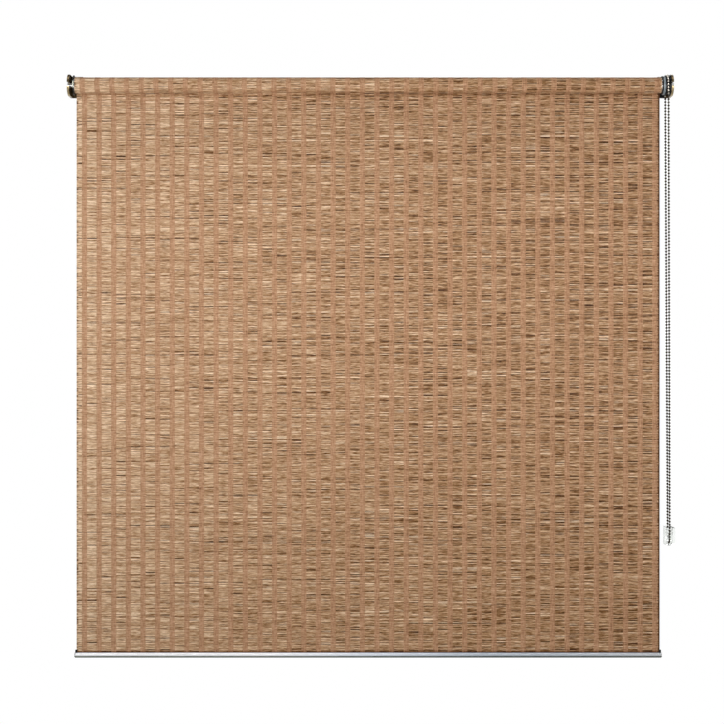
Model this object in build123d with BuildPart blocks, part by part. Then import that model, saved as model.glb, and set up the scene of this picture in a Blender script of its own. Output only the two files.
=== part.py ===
"""A woven roller blind on two wall brackets, with a bead chain and its holder, fully let down.

Millimetres. The wall is the plane y = 0 and the viewer stands at -y. The roller's axis is at
z = 0, and x = 0 is midway between the brackets' screws.
"""

from build123d import *
import os
from math import cos, pi, radians, sin, sqrt

os.makedirs("parts", exist_ok=True)

# Clearances
fit_gap = 0.1
running_gap = 0.08
side_gap = 0.3

# Fabric
fabric_width = 1145.0
fabric_thickness = 0.6
fabric_drop = 1111.0
band_pitch = 28.72
band_width = 10.7
band_rise = 0.15
first_band = 15.5
slits_per_zone = 2
slit_height = 1.0
slit_inset = 1.2
slit_margin = 30.0
golden_share = 0.618034
winding_gap = 0.05
half_turns = 3

# Roller tube
tube_radius = 14.0
tube_wall = 1.0
tube_bare = 1.5
groove_width = 4.4
groove_depth = 2.4
spline_gap = 0.2

# Brackets
axis_from_wall = 29.0
plate_thickness = 1.5
plate_radius = 21.0
rim_depth = 2.5
rim_thickness = 1.2
foot_length = 26.0
foot_corner = 3.0
bend_radius = 1.0
screw_hole_radius = 2.25
screw_inset = 14.0
screw_spacing = 24.0

# Pin and plug at the left end
fabric_from_left_plate = 13.7
pin_radius = 4.0
pin_reach = 2.0
pin_collar_radius = 6.2
pin_collar_length = 1.6
plug_flange_radius = 19.4
plug_flange_thickness = 1.7
plug_boss_radius = 7.0
plug_boss_length = 26.0
plug_rib_thickness = 2.0
rib_count = 6
first_rib_angle = 30.0
hex_sides = 6
clip_thickness = 1.0
clip_height = 2.3
clip_mouth = 5.0

# Clutch at the right end
adapter_gap = 1.3
adapter_flange_radius = 18.0
adapter_flange_thickness = 1.8
adapter_finger_width = 4.0
adapter_length = 24.0
hub_flange_radius = 18.0
hub_flange_thickness = 3.8
hub_length = 30.0
hub_wall = 1.2
hub_sides = 12
hub_end_wall = 5.0
hub_key_width = 3.0
wheel_lip = 0.5
wheel_width = 8.6
wheel_claw_length = 20.0
wheel_claw_width = 3.4
pocket_count = 20
pocket_length = 4.4
pocket_gap = 0.3
chain_groove_width = 5.2
chain_groove_depth = 1.8
cover_radius = 20.2
cover_thickness = 1.6
core_collar_size = 24.0
core_collar_thickness = 2.8
core_hex_step = 3.4
core_hub_step = 1.6
tang_length = 6.0
spring_wire = 1.2
spring_length = 18.0
spring_opening = 5.0
spring_tail = 0.5

# Bead chain
bead_pitch = 6.0
bead_radius = 2.25
bead_length = 5.4
bead_sides = 4
strand_bead_count = 147
loop_bead_count = 6
chain_drift = 3.5

# Chain holder
holder_channel_width = 8.4
holder_left_cheek = 1.6
holder_right_cheek = 5.2
holder_chain_inset = 3.8
holder_wall = 2.4
holder_back = 2.2
holder_chain_gap = 1.5
holder_lip = 5.5
holder_hole_radius = 1.75
holder_hole_spacing = 24.0
holder_hole_drop = 5.5
holder_access_radius = 3.2

# Bottom bar
bar_height = 10.4
bar_depth = 9.0
bar_corner = 4.2
bar_overhang = 4.0
bar_slit = 1.6
bar_chamber_radius = 2.6
bar_chamber_drop = 4.0
bar_hollow_width = 5.0
bar_hollow_height = 1.8
bar_hollow_lift = 2.2
bar_tail = 5.0
cap_thickness = 2.5
cap_chamfer = 1.2
cap_tongue = 8.0

# The slot in both brackets
slot_width = 2 * (pin_radius + fit_gap)

# The whole number of bands that the fabric's width holds
band_count = int((fabric_width - first_band - band_width / 2) // band_pitch) + 1

# Places along the roller, between two plates as far apart as the fabric and the hardware need
clutch_stack = adapter_gap + adapter_flange_thickness + hub_flange_thickness + wheel_width
cover_stack = cover_thickness + core_collar_thickness + 3 * fit_gap + 2 * side_gap
bracket_span = fabric_from_left_plate + fabric_width + clutch_stack + cover_stack + plate_thickness
plate_outer = bracket_span / 2
plate_inner = plate_outer - plate_thickness
fabric_left = fabric_from_left_plate - plate_outer
fabric_right = fabric_left + fabric_width
tube_left = fabric_left - tube_bare
plug_left = tube_left - plug_flange_thickness
boss_right = plug_left + plug_boss_length
pin_right = boss_right + side_gap + 2 * clip_thickness
adapter_left = fabric_right + adapter_gap
adapter_right = adapter_left + adapter_flange_thickness
hub_left = adapter_right + fit_gap
hub_right = hub_left + hub_flange_thickness
hub_end = hub_right - hub_length
wheel_left = hub_right + side_gap
wheel_right = wheel_left + wheel_width
wheel_middle = (wheel_left + wheel_right) / 2
cover_left = wheel_right + side_gap
cover_right = cover_left + cover_thickness
core_left = hub_end - side_gap - 2 * clip_thickness

# Radii about the roller's axis
winding_pitch = fabric_thickness + winding_gap
roll_radius = tube_radius + winding_gap + fabric_thickness + winding_pitch * half_turns / 2
tube_bore = tube_radius - tube_wall
rib_reach = tube_bore - fit_gap
hub_radius = tube_bore - groove_depth - fit_gap
hub_bore = hub_radius - hub_wall
adapter_bore = hub_radius + fit_gap
tail_side = spring_opening / 2 + spring_wire
claw_reach = hub_bore * cos(pi / hub_sides) - side_gap
spring_radius = sqrt(claw_reach**2 - tail_side**2) - spring_tail
core_seat_radius = spring_radius - spring_wire - fit_gap / 2
core_hub_seat_radius = core_seat_radius - core_hub_step
core_hex_radius = core_seat_radius + core_hex_step
chain_radius = pocket_count * bead_pitch / (2 * pi)
wheel_radius = chain_radius + wheel_lip
pocket_floor = chain_radius - bead_radius - pocket_gap

# The chain's lower loop
loop_radius = loop_bead_count * bead_pitch / pi
strand_length = strand_bead_count * bead_pitch
loop_z = -sqrt(strand_length**2 - (chain_radius - loop_radius) ** 2 - chain_drift**2)
loop_x = wheel_middle + chain_drift

# The hanging sheet and the bottom bar
axis_y = -axis_from_wall
sheet_front = axis_y + roll_radius - winding_pitch + side_gap
sheet_back = sheet_front + band_rise + fabric_thickness
bar_top = -fabric_drop
bar_y = (sheet_front + sheet_back) / 2
bar_z = bar_top - bar_height / 2
bar_left = fabric_left - bar_overhang + cap_thickness
bar_right = fabric_right + bar_overhang - cap_thickness

axle = Axis((0, axis_y, 0), (1, 0, 0))
axle_plane = Plane(origin=(0, axis_y, 0), x_dir=(1, 0, 0), z_dir=(0, -1, 0))


def across(x, y=axis_y, z=0.0):
    """The plane across the blind at x, with its own axes along +y and +z."""
    return Plane(origin=(x, y, z), x_dir=(0, 1, 0), z_dir=(1, 0, 0))


def outline(*corners):
    """The closed outline through (x, radius) corners, ready to turn about the roller's axis."""
    with BuildSketch(axle_plane) as profile:
        with BuildLine():
            Polyline(*corners, close=True)
        make_face()
    return profile.sketch


# Left wall bracket: a dished end plate with an open slot, and a foot on the wall
with BuildPart() as bracket_left:
    for inset, left, right, mode in (
        (0.0, -plate_outer, rim_depth - plate_inner, Mode.ADD),
        (rim_thickness, -plate_inner, rim_depth - plate_inner, Mode.SUBTRACT),
    ):
        with BuildSketch(across(left)):
            Circle(plate_radius - inset)
            Rectangle(axis_from_wall, 2 * (plate_radius - inset), align=(Align.MIN, Align.CENTER))
        extrude(amount=right - left, mode=mode)
    with BuildSketch(Plane.XZ):
        with Locations((-plate_outer, 0)):
            foot = Rectangle(foot_length, 2 * plate_radius, align=(Align.MIN, Align.CENTER))
        fillet(foot.vertices().group_by(Axis.X)[-1], foot_corner)
    extrude(amount=plate_thickness)
    inside_bend = bracket_left.edges().filter_by(Axis.Z).filter_by_position(
        Axis.Y, -plate_thickness - fit_gap, fit_gap - plate_thickness
    )
    fillet(inside_bend.sort_by(Axis.X)[0], bend_radius)
    with BuildSketch(across(-plate_outer)):
        Circle(slot_width / 2)
        Rectangle(plate_radius, slot_width, align=(Align.MAX, Align.CENTER))
    extrude(amount=plate_thickness + rim_depth, mode=Mode.SUBTRACT)
    with BuildSketch(Plane.XZ):
        with Locations((screw_inset - plate_outer, 0)):
            with GridLocations(0, screw_spacing, 1, 2):
                Circle(screw_hole_radius)
    extrude(amount=plate_thickness, mode=Mode.SUBTRACT)
bracket_left.part.label = "bracket_left"
export_step(bracket_left.part, "parts/bracket_left.step")

# Right wall bracket: the left one's mirror image
with BuildPart() as bracket_right:
    mirror(bracket_left.part, about=Plane.YZ)
bracket_right.part.label = "bracket_right"
export_step(bracket_right.part, "parts/bracket_right.step")

# Roller tube, with its groove facing the viewer
with BuildPart() as roller_tube:
    with BuildSketch(across(tube_left + fit_gap)):
        Circle(tube_radius)
        Circle(tube_bore, mode=Mode.SUBTRACT)
        with Locations((-tube_bore, 0)):
            Rectangle(groove_depth, groove_width + 2 * tube_wall, align=(Align.MIN, Align.CENTER))
        with Locations((-tube_radius, 0)):
            Rectangle(
                groove_depth, groove_width, align=(Align.MIN, Align.CENTER), mode=Mode.SUBTRACT
            )
    extrude(amount=adapter_left - tube_left - 2 * fit_gap)
roller_tube.part.label = "roller_tube"
export_step(roller_tube.part, "parts/roller_tube.step")

# Strip that holds the fabric's end in the tube's groove
with BuildPart() as tube_spline:
    with BuildSketch(across(fabric_left)):
        with Locations((-tube_radius + groove_depth / 2, 0)):
            Rectangle(groove_depth - 2 * spline_gap, groove_width - 2 * spline_gap)
    extrude(amount=fabric_width)
tube_spline.part.label = "tube_spline"
export_step(tube_spline.part, "parts/tube_spline.step")


def turn_radius(half_turn):
    """The roll's outer radius after so many half turns inwards from where the sheet leaves it."""
    return roll_radius - half_turn * winding_pitch / 2


# Fabric left on the tube: one spiral of half turns, from the roll's back over its top
with BuildPart() as fabric_roll:
    with BuildSketch(across(fabric_left)):
        with BuildLine():
            for depth in (0, fabric_thickness):
                for turn in range(half_turns):
                    side = 1 if turn % 2 == 0 else -1
                    outer = turn_radius(turn) - depth
                    inner = turn_radius(turn + 1) - depth
                    crest = (side * (outer - inner) / 2, side * (outer + inner) / 2)
                    ThreePointArc((side * outer, 0), crest, (-side * inner, 0))
            for turn in (0, half_turns):
                side = 1 if turn % 2 == 0 else -1
                outer = turn_radius(turn)
                Line((side * outer, 0), (side * (outer - fabric_thickness), 0))
        make_face()
    extrude(amount=fabric_width)
fabric_roll.part.label = "fabric_roll"
export_step(fabric_roll.part, "parts/fabric_roll.step")

# Hanging sheet: a wall with the warp bands as ridges and open slits in the zones between them
sheet_bottom = bar_top - bar_tail
with BuildPart() as fabric_sheet:
    with BuildSketch(Plane.XY.offset(sheet_bottom)):
        with Locations((fabric_left, sheet_back)):
            Rectangle(fabric_width, fabric_thickness, align=(Align.MIN, Align.MAX))
        bands = [(fabric_left + first_band + n * band_pitch, sheet_front) for n in range(band_count)]
        with Locations(*bands):
            Rectangle(band_width, band_rise, align=(Align.CENTER, Align.MIN))
    extrude(amount=-side_gap - sheet_bottom)
    slits = []
    for zone in range(band_count - 1):
        for row in range(slits_per_zone):
            share = (zone * golden_share + row / slits_per_zone) % 1
            slit_x = fabric_left + first_band + (zone + 0.5) * band_pitch
            slit_z = bar_top + slit_margin + share * (fabric_drop - 2 * slit_margin)
            slits.append((slit_x, slit_z))
    with BuildSketch(Plane.XZ):
        with Locations(*slits):
            Rectangle(band_pitch - band_width - 2 * slit_inset, slit_height)
    extrude(amount=axis_from_wall, mode=Mode.SUBTRACT)
fabric_sheet.part.label = "fabric_sheet"
export_step(fabric_sheet.part, "parts/fabric_sheet.step")

# Idler plug: a flange on the tube's end, and a boss with ribs inside the tube that turns on the pin
with BuildPart() as idler_plug:
    rib_root = pin_radius + running_gap + side_gap
    with BuildSketch(across(plug_left)):
        Circle(plug_flange_radius)
    extrude(amount=plug_flange_thickness)
    with BuildSketch(across(tube_left)):
        RegularPolygon(plug_boss_radius, hex_sides)
        with PolarLocations((rib_root + rib_reach) / 2, rib_count, start_angle=first_rib_angle):
            Rectangle(rib_reach - rib_root, plug_rib_thickness)
    extrude(amount=boss_right - tube_left)
    with BuildSketch(across(plug_left)):
        Circle(pin_radius + running_gap)
    extrude(amount=boss_right - plug_left, mode=Mode.SUBTRACT)
idler_plug.part.label = "idler_plug"
export_step(idler_plug.part, "parts/idler_plug.step")

# Idler pin: seats in the left bracket's slot, and its collar stops it against the plate
with BuildPart() as idler_pin:
    with BuildSketch(across(-plate_outer - pin_reach)):
        Circle(pin_radius)
    extrude(amount=pin_right + plate_outer + pin_reach)
    with BuildSketch(across(fit_gap - plate_inner)):
        RegularPolygon(pin_collar_radius, hex_sides)
    extrude(amount=pin_collar_length)
idler_pin.part.label = "idler_pin"
export_step(idler_pin.part, "parts/idler_pin.step")

# Tube adapter: the thin collar between the tube and the hub, with fingers inside the tube
with BuildPart() as tube_adapter:
    finger_reach = sqrt(rib_reach**2 - (adapter_finger_width / 2) ** 2)
    with BuildSketch(across(adapter_left)):
        Circle(adapter_flange_radius)
        RegularPolygon(adapter_bore, hub_sides, mode=Mode.SUBTRACT)
    extrude(amount=adapter_flange_thickness)
    with BuildSketch(across(adapter_left - adapter_length)):
        with PolarLocations((adapter_bore + finger_reach) / 2, rib_count, start_angle=first_rib_angle):
            Rectangle(finger_reach - adapter_bore, adapter_finger_width)
    extrude(amount=adapter_length)
tube_adapter.part.label = "tube_adapter"
export_step(tube_adapter.part, "parts/tube_adapter.step")

# Drive hub: turns on the core's end, and its inner key lies between the spring's two ends
with BuildPart() as drive_hub:
    key_bottom = core_seat_radius + side_gap
    for left, right, radius, mode in (
        (hub_end, hub_left, hub_radius, Mode.ADD),
        (hub_end + hub_end_wall, hub_right, hub_bore, Mode.SUBTRACT),
    ):
        with BuildSketch(across(left)):
            RegularPolygon(radius, hub_sides)
        extrude(amount=right - left, mode=mode)
    with BuildSketch(across(hub_left)):
        Circle(hub_flange_radius)
        RegularPolygon(hub_bore, hub_sides, mode=Mode.SUBTRACT)
    extrude(amount=hub_flange_thickness)
    with BuildSketch(across(hub_end)):
        Circle(core_hub_seat_radius + running_gap)
    extrude(amount=hub_end_wall, mode=Mode.SUBTRACT)
    with BuildSketch(across(hub_end + hub_end_wall)):
        with Locations((0, key_bottom)):
            Rectangle(hub_key_width, hub_bore - key_bottom, align=(Align.CENTER, Align.MIN))
    extrude(amount=spring_length)
drive_hub.part.label = "drive_hub"
export_step(drive_hub.part, "parts/drive_hub.step")

# Chain wheel: a groove with a pocket for each bead, and two claws beside the spring's ends
with BuildPart() as chain_wheel:
    groove_left = wheel_middle - chain_groove_width / 2
    groove_right = wheel_middle + chain_groove_width / 2
    profile = outline(
        (wheel_left, core_seat_radius + running_gap),
        (wheel_left, wheel_radius),
        (groove_left, wheel_radius),
        (groove_left, wheel_radius - chain_groove_depth),
        (groove_right, wheel_radius - chain_groove_depth),
        (groove_right, wheel_radius),
        (wheel_right, wheel_radius),
        (wheel_right, core_seat_radius + running_gap),
    )
    revolve(profile, axis=axle)
    pockets = []
    for n in range(pocket_count):
        angle = radians(n * 360 / pocket_count)
        outward = Vector(0, cos(angle), sin(angle))
        middle = Vector(wheel_middle, axis_y, 0) + outward * pocket_floor
        pockets.append(Plane(origin=middle, x_dir=(0, -sin(angle), cos(angle)), z_dir=outward))
    with BuildSketch(*pockets):
        Rectangle(pocket_length, chain_groove_width)
    extrude(amount=bead_radius, mode=Mode.SUBTRACT)
    claw_side = tail_side + side_gap
    with BuildSketch(across(wheel_left - wheel_claw_length)):
        Circle(claw_reach)
        Circle(spring_radius + fit_gap, mode=Mode.SUBTRACT)
        Rectangle(
            2 * (claw_side + wheel_claw_width),
            wheel_radius,
            align=(Align.CENTER, Align.MIN),
            mode=Mode.INTERSECT,
        )
        Rectangle(2 * claw_side, wheel_radius, align=(Align.CENTER, Align.MIN), mode=Mode.SUBTRACT)
    extrude(amount=wheel_claw_length)
chain_wheel.part.label = "chain_wheel"
export_step(chain_wheel.part, "parts/chain_wheel.step")

# Clutch cover: the disc that keeps the chain on the wheel
with BuildPart() as clutch_cover:
    with BuildSketch(across(cover_left)):
        Circle(cover_radius)
        RegularPolygon(core_hex_radius + fit_gap, hex_sides, mode=Mode.SUBTRACT)
    extrude(amount=cover_thickness)
clutch_cover.part.label = "clutch_cover"
export_step(clutch_cover.part, "parts/clutch_cover.step")

# Clutch core: the fixed shaft, stepped down from a square collar, with a tang in the bracket's slot
with BuildPart() as clutch_core:
    collar_left = cover_right + fit_gap
    collar_right = collar_left + core_collar_thickness
    profile = outline(
        (cover_left, 0),
        (cover_left, core_seat_radius),
        (hub_end + hub_end_wall + side_gap, core_seat_radius),
        (hub_end + hub_end_wall + side_gap, core_hub_seat_radius),
        (core_left, core_hub_seat_radius),
        (core_left, 0),
    )
    revolve(profile, axis=axle)
    with BuildSketch(across(cover_left)):
        RegularPolygon(core_hex_radius, hex_sides)
    extrude(amount=collar_left - cover_left)
    with BuildSketch(across(collar_left)):
        Rectangle(core_collar_size, core_collar_size)
    extrude(amount=collar_right - collar_left)
    with BuildSketch(across(collar_right)):
        Circle(pin_radius)
        Rectangle(tang_length, 2 * pin_radius, align=(Align.MAX, Align.CENTER))
    extrude(amount=plate_outer + pin_reach - collar_right)
clutch_core.part.label = "clutch_core"
export_step(clutch_core.part, "parts/clutch_core.step")

# Wrap spring: close windings as one band that grips the core, with its two ends turned outwards
with BuildPart() as clutch_spring:
    with BuildSketch(across(hub_end + hub_end_wall + 2 * side_gap)):
        Circle(spring_radius)
        Circle(spring_radius - spring_wire, mode=Mode.SUBTRACT)
        Rectangle(spring_opening, plate_radius, align=(Align.CENTER, Align.MIN), mode=Mode.SUBTRACT)
        with Locations((0, spring_radius - spring_wire)):
            with GridLocations(spring_opening + spring_wire, 0, 2, 1):
                Rectangle(spring_wire, spring_wire + spring_tail, align=(Align.CENTER, Align.MIN))
    extrude(amount=spring_length)
clutch_spring.part.label = "clutch_spring"
export_step(clutch_spring.part, "parts/clutch_spring.step")

# Push-on clips: open plates that keep the plug on its pin and the hub on the core
with BuildPart() as retaining_clips:
    for clip_x, shaft_radius in (
        (boss_right + side_gap, pin_radius),
        (hub_end - side_gap - clip_thickness, core_hub_seat_radius),
    ):
        with BuildSketch(across(clip_x)):
            Rectangle(2 * (shaft_radius + clip_height), 2 * (shaft_radius + clip_height))
            Circle(shaft_radius + fit_gap / 2, mode=Mode.SUBTRACT)
            Rectangle(clip_mouth, plate_radius, align=(Align.CENTER, Align.MIN), mode=Mode.SUBTRACT)
        extrude(amount=clip_thickness)
retaining_clips.part.label = "retaining_clips"
export_step(retaining_clips.part, "parts/retaining_clips.step")


def strand_planes(top, bottom):
    """The planes of the beads along one straight strand, without the strand's two ends."""
    direction = (bottom - top).normalized()
    steps = range(1, strand_bead_count)
    return [Plane(origin=top + direction * bead_pitch * n, x_dir=(1, 0, 0), z_dir=direction) for n in steps]


def arc_planes(x, z, radius, first_angle, count):
    """The planes of the beads round half a circle, which starts at first_angle and has both ends."""
    planes = []
    for n in range(count + 1):
        angle = radians(first_angle + n * 180 / count)
        middle = (x, axis_y + radius * cos(angle), z + radius * sin(angle))
        planes.append(Plane(origin=middle, x_dir=(1, 0, 0), z_dir=(0, -sin(angle), cos(angle))))
    return planes


# Bead chain: over the wheel, down both strands and under the holder's peg
with BuildPart() as bead:
    with BuildSketch() as girth:
        RegularPolygon(bead_radius, bead_sides)
    tips = [Vertex(0, 0, end * bead_length / 2) for end in (-1, 1)]
    loft([tips[0], girth.face(), tips[1]], ruled=True)
front_top = Vector(wheel_middle, axis_y - chain_radius, 0)
front_bottom = Vector(loop_x, axis_y - loop_radius, loop_z)
back_top = Vector(wheel_middle, axis_y + chain_radius, 0)
back_bottom = Vector(loop_x, axis_y + loop_radius, loop_z)
chain_planes = arc_planes(wheel_middle, 0, chain_radius, 0, pocket_count // 2)
chain_planes += strand_planes(front_top, front_bottom)
chain_planes += arc_planes(loop_x, loop_z, loop_radius, 180, loop_bead_count)
chain_planes += strand_planes(back_top, back_bottom)
bead_chain = Compound(label="bead_chain", children=[plane.location * bead.part for plane in chain_planes])
export_step(bead_chain, "parts/bead_chain.step")

# Chain holder: a clear moulded channel on the wall, with two prongs and a peg inside the loop
with BuildPart() as tensioner_housing:
    holder_left = loop_x - holder_chain_inset - holder_left_cheek
    channel_left = holder_left + holder_left_cheek
    holder_width = holder_left_cheek + holder_channel_width + holder_right_cheek
    channel_radius = loop_radius + bead_radius + holder_chain_gap
    holder_prong = channel_radius + holder_wall + side_gap
    for left, width, radius, back, mode in (
        (holder_left, holder_width, channel_radius + holder_wall, 0.0, Mode.ADD),
        (channel_left, holder_channel_width, channel_radius, holder_back, Mode.SUBTRACT),
    ):
        with BuildSketch(across(left, axis_y, loop_z)):
            Circle(radius)
            with Locations((-radius, 0)):
                Rectangle(axis_from_wall + radius - back, holder_prong, align=(Align.MIN, Align.MIN))
            Rectangle(axis_from_wall - back, radius, align=(Align.MIN, Align.MAX))
        extrude(amount=width, mode=mode)
    with BuildSketch(across(channel_left, axis_y, loop_z + holder_lip)):
        Rectangle(2 * plate_radius, holder_prong, align=(Align.MAX, Align.MIN))
    extrude(amount=holder_channel_width, mode=Mode.SUBTRACT)
    with BuildSketch(across(channel_left, axis_y, loop_z)):
        Circle(loop_radius - bead_radius - pocket_gap)
    extrude(amount=holder_channel_width)
    holder_hole_x = channel_left + holder_channel_width / 2
    upper_hole_z = loop_z + holder_prong - holder_hole_drop
    lower_hole_z = upper_hole_z - holder_hole_spacing
    with BuildSketch(Plane.XZ):
        with Locations((holder_hole_x, upper_hole_z), (holder_hole_x, lower_hole_z)):
            Circle(holder_hole_radius)
    extrude(amount=holder_back, mode=Mode.SUBTRACT)
    with BuildSketch(Plane.XZ.offset(axis_from_wall)):
        with Locations((holder_hole_x, lower_hole_z)):
            Circle(holder_access_radius)
    extrude(amount=axis_from_wall, mode=Mode.SUBTRACT)
tensioner_housing.part.label = "tensioner_housing"
export_step(tensioner_housing.part, "parts/tensioner_housing.step")

# Bottom bar: a rounded extrusion with a chamber for the fabric's end and a hollow for the caps
with BuildPart() as bottom_bar:
    with BuildSketch(across(bar_left, bar_y, bar_z)):
        RectangleRounded(bar_depth, bar_height, bar_corner)
        with Locations((0, bar_height / 2 - bar_chamber_drop)):
            Circle(bar_chamber_radius, mode=Mode.SUBTRACT)
            Rectangle(bar_slit, bar_height, align=(Align.CENTER, Align.MIN), mode=Mode.SUBTRACT)
        with Locations((0, bar_hollow_lift - bar_height / 2)):
            Rectangle(bar_hollow_width, bar_hollow_height, mode=Mode.SUBTRACT)
    extrude(amount=bar_right - bar_left)
bottom_bar.part.label = "bottom_bar"
export_step(bottom_bar.part, "parts/bottom_bar.step")

# Strip that holds the fabric's end in the bar's chamber
with BuildPart() as bar_spline:
    with BuildSketch(across(fabric_left, bar_y, bar_top - bar_chamber_drop)):
        Circle(bar_chamber_radius - side_gap)
        slot_depth = bar_tail - bar_chamber_drop + fit_gap
        with Locations((0, -slot_depth)):
            Rectangle(
                sheet_back - sheet_front + 2 * fit_gap,
                bar_height,
                align=(Align.CENTER, Align.MIN),
                mode=Mode.SUBTRACT,
            )
    extrude(amount=fabric_width)
bar_spline.part.label = "bar_spline"
export_step(bar_spline.part, "parts/bar_spline.step")

# Bar caps: rounded ends with a tongue in the bar's hollow
with BuildPart() as bar_caps:
    for seat_x, outward in ((bar_left, -1), (bar_right, 1)):
        with BuildSketch(across(seat_x, bar_y, bar_z)):
            RectangleRounded(bar_depth, bar_height, bar_corner)
        extrude(amount=outward * cap_thickness)
        chamfer(bar_caps.faces().sort_by(Axis.X)[-1 if outward > 0 else 0].edges(), cap_chamfer)
        with BuildSketch(across(seat_x, bar_y, bar_z - bar_height / 2 + bar_hollow_lift)):
            Rectangle(bar_hollow_width - 2 * fit_gap, bar_hollow_height - 2 * fit_gap)
        extrude(amount=-outward * cap_tongue)
bar_caps.part.label = "bar_caps"
export_step(bar_caps.part, "parts/bar_caps.step")
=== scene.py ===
"""The looks of the woven roller blind: its slub weave, bead chain, hardware, camera and light.

The axes are the frame's own: the wall is y = 0, the roller's axis is at z = 0 and the viewer stands
at -y. Camera, lamps and the stops of tints are in metres, and the pieces' own sizes in mm. The
fabric is measured down its length from the level of the axis, where it leaves the roll's back.
"""

from math import cos, pi, radians, sin

import bmesh
import bpy
import numpy as np
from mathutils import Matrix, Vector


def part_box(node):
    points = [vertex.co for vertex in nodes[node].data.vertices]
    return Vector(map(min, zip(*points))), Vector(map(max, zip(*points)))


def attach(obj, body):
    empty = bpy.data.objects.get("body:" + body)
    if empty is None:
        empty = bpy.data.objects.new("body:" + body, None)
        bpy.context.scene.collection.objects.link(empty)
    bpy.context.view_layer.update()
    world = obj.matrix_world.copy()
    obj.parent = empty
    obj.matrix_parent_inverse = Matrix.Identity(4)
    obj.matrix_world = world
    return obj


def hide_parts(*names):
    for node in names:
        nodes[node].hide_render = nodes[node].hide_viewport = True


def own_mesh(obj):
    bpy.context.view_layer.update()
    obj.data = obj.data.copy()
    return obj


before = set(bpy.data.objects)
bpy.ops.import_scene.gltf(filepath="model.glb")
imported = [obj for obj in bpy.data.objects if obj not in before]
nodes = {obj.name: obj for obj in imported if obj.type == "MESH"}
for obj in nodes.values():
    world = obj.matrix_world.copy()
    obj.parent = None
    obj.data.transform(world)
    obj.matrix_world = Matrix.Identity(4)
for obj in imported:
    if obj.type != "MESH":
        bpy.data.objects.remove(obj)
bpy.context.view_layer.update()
MM = 0.001
X_AXIS, Y_AXIS, Z_AXIS = range(3)

# The fabric as the solids have it. A zone is what lies between two bands, or beside the outer ones
sheet_low, sheet_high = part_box("fabric_sheet")
FABRIC_LEFT = sheet_low.x / MM
FABRIC_WIDTH = (sheet_high.x - sheet_low.x) / MM
SHEET_FRONT = sheet_low.y / MM
SHEET_TOP = sheet_high.z / MM
SHEET_BOTTOM = sheet_low.z / MM
SHEET_LENGTH = -SHEET_BOTTOM
BAR_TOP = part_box("bottom_bar")[1].z / MM
AXIS_Y = -29.0
THICKNESS = 0.6
BAND_COUNT = 40
ZONE_COUNT = BAND_COUNT + 1
BAND_PITCH = 28.72
BAND_WIDTH = 10.7
BAND_RISE = 0.15
FIRST_BAND = 15.5
SHEET_MIDDLE = SHEET_FRONT + BAND_RISE + THICKNESS / 2
SLITS_PER_ZONE = 2
SLIT_MARGIN = 30.0
SLIT_INSET = 1.2
SLIT_HEIGHT = 1.0
GOLDEN_SHARE = 0.618034
ROLL_RADIUS = 15.625
WINDING_PITCH = 0.65
HALF_TURNS = 3
MEAN_RADIUS = ROLL_RADIUS - WINDING_PITCH * HALF_TURNS / 4

# The yarns' lines. Ranges are those that random values are drawn from
FRONT_PITCH = 1.46
BACK_PITCH = 3.9
YARN_WIDTHS = (0.62, 1.38)  # shares of the pitch
NARROWEST_YARN = 0.55
YARN_WAVES = ((310, 0.24), (120, 0.2), (44, 0.16))  # length and size of the slow waves
WAVE_STRETCH = (0.7, 1.3)
WAVE_STRENGTH = (0.3, 1)
POINT_INSET = 0.35  # from a band's edge to the points on both sides of it
NARROW_ZONE = 6
NARROW_ZONE_STEPS = 2
JOINED_SHARE = 0.42  # zones in which a yarn goes on as in the one before

# The gaps between yarns
OPEN_SHARE = 0.18
OPEN_GAP = (0.3, 0.8)  # the least, and what is added at most
OPEN_GAP_POWER = 1.5
CLOSED_GAP = 0.08
WIDEST_GAP = 1.2
SLIT_GAP = 1.1
SLIT_PULL = 0.6  # how far the yarns beside a slit bend towards it
SLIT_REACH = 30
GAP_SHAPE = (0.55, 0.45)  # even and random part of a gap along the yarn
GAP_AT_BAND = 0.35
HALF_GAP_SHARE = 0.3  # gaps that close over half a zone
HALF_GAP_REST = 0.1
RAGGED_SHARE = 0.22  # yarns that stop apart at the fabric's edges
RAGGED_LEFT = (0.8, 1.8)
RAGGED_RIGHT = (0.6, 1.4)
NEAT_LEFT = 0.1
NEAT_RIGHT = 0.2

# The yarns' relief over the fabric's middle. Each has three rows of points: edge, crest, edge
YARN_ROWS = 3
CREST_SHIFT = 0.12
ZONE_DEPTH = 0.1
RIDGE = 0.2
RIDGE_LIMITS = (0.5, 1.5)
RIDGE_CHANGES = (0.7, 1.2)
LEANING_SHARE = 0.5
SLIGHT_LEAN = 0.3
LEAN_RISE = 0.22
BAND_DEPTH = 0.34
BAND_RIDGE = 0.09

# The yarns' tones, as places in the colour ramps. Pairs change evenly across the fabric: the value
# at its left edge, and what is added up to its right one
MIDDLE_TONE = 0.5
# Painted sheen: the yarns between the bands are lighter towards the left, where the light falls,
# and lightest at the fabric's left edge
ZONE_TONE_AND_SHEEN = (0.75, -0.77)
ZONE_SHEEN_BEND = 0.44
LEFT_EDGE_SHEEN = 0.14
LEFT_EDGE_SHEEN_REACH = 0.02
HELD_SPREAD = (0.19, 0.08)
# Painted highlights: bright marks on glossy yarn, more often and brighter towards the left, where
# the light falls
HIGHLIGHT_CHANCE = (0.1, -0.07)
HIGHLIGHT_TONE = (0.74, -0.1)
HIGHLIGHT_SPREAD = 0.2
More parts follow.
